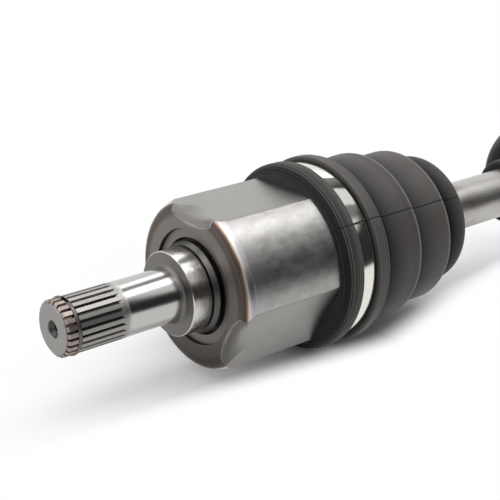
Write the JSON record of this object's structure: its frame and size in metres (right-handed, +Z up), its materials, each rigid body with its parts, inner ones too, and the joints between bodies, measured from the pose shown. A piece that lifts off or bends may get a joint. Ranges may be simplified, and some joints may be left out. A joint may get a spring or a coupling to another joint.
{
  "type": "drive shaft",
  "caption": "Front drive shaft with a splined stub, sliding roller joint, folded rubber boots, damped bar and ball joint with hub stub.",
  "frame": {"origin": "middle of the polished seal journal on the inboard stub, on the shaft's axis", "axes": "+X along the shaft towards the wheel end, +Z up, with one housing flat facing +Z"},
  "size_m": [0.622, 0.0964, 0.0964],
  "materials": {
    "housing_steel": "turned and ground steel on the lobes and journals, dull forged skin on the flats and face",
    "bar_steel": "satin steel bar with faint brown oil staining",
    "bearing_steel": "fine ground bearing steel, lightly greased",
    "ball_steel": "polished bearing balls",
    "ring_steel": "black spring steel",
    "band_steel": "bright rolled stainless band",
    "boot_rubber": "satin moulded black rubber with a fine parting line",
    "adapter_rubber": "matt moulded black rubber",
    "damper_rubber": "satin moulded black rubber",
    "damper_iron": "machined cast ring, hidden in the rubber"
  },
  "bodies": {
    "housing": {"inner_housing": "housing_steel", "stub_circlip": "ring_steel", "boot_adapter": "adapter_rubber", "inner_boot": "boot_rubber", "inner_large_clamp": "band_steel"},
    "tripod_needles": {"needle_set_1": "bearing_steel"},
    "track_roller_1": {"roller_1": "bearing_steel"},
    "shaft": {"shaft_bar": "bar_steel", "spider": "bearing_steel", "spider_snap_ring": "ring_steel", "needle_set_2": "bearing_steel", "needle_set_3": "bearing_steel", "roller_washers": "ring_steel", "roller_circlips": "ring_steel", "damper_rubber": "damper_rubber", "damper_mass": "damper_iron", "damper_clamp": "band_steel", "inner_small_clamp": "band_steel", "outer_small_clamp": "band_steel", "inner_race": "bearing_steel", "race_snap_ring": "ring_steel"},
    "track_roller_2": {"roller_2": "bearing_steel"},
    "track_roller_3": {"roller_3": "bearing_steel"},
    "ball_cage": {"cage": "bearing_steel", "ball_1": "ball_steel", "ball_2": "ball_steel", "ball_3": "ball_steel", "ball_4": "ball_steel", "ball_5": "ball_steel", "ball_6": "ball_steel"},
    "bell": {"outer_race": "housing_steel", "outer_boot": "boot_rubber", "outer_large_clamp": "band_steel"}
  },
  "joints": [
    {"name": "inner_plunge", "type": "slide", "parent": "housing", "child": "tripod_needles", "axis": [1, 0, 0], "range_m": [-0.013, 0.013], "deforming": ["inner_boot"]},
    {"name": "inner_bend", "type": "hinge", "parent": "tripod_needles", "child": "shaft", "pos_m": [0.0551, 0, 0], "axis": [0, 0, 1], "range_deg": [-15, 15], "deforming": ["inner_boot"]},
    {"name": "roller_1_spin", "type": "hinge", "parent": "tripod_needles", "child": "track_roller_1", "pos_m": [0.0551, 0, 0], "axis": [0, 0, -1], "range_deg": [-55, 55]},
    {"name": "roller_2_spin", "type": "hinge", "parent": "shaft", "child": "track_roller_2", "pos_m": [0.0551, 0, 0], "axis": [0, 0.866, 0.5], "range_deg": [-55, 55]},
    {"name": "roller_3_spin", "type": "hinge", "parent": "shaft", "child": "track_roller_3", "pos_m": [0.0551, 0, 0], "axis": [0, -0.866, 0.5], "range_deg": [-55, 55]},
    {"name": "outer_bend", "type": "hinge", "parent": "shaft", "child": "bell", "pos_m": [0.4501, 0, 0], "axis": [0, 0, 1], "range_deg": [-40, 40], "deforming": ["outer_boot"]},
    {"name": "cage_swing", "type": "hinge", "parent": "shaft", "child": "ball_cage", "pos_m": [0.4501, 0, 0], "axis": [0, 0, 1], "range_deg": [-20, 20]}
  ],
  "couplings": [
    {"joint": "roller_1_spin", "follows": "inner_plunge", "rad_per_m": 68.027},
    {"joint": "roller_2_spin", "follows": "inner_plunge", "rad_per_m": 68.027},
    {"joint": "roller_3_spin", "follows": "inner_plunge", "rad_per_m": 68.027},
    {"joint": "cage_swing", "follows": "outer_bend", "ratio": 0.5}
  ]
}
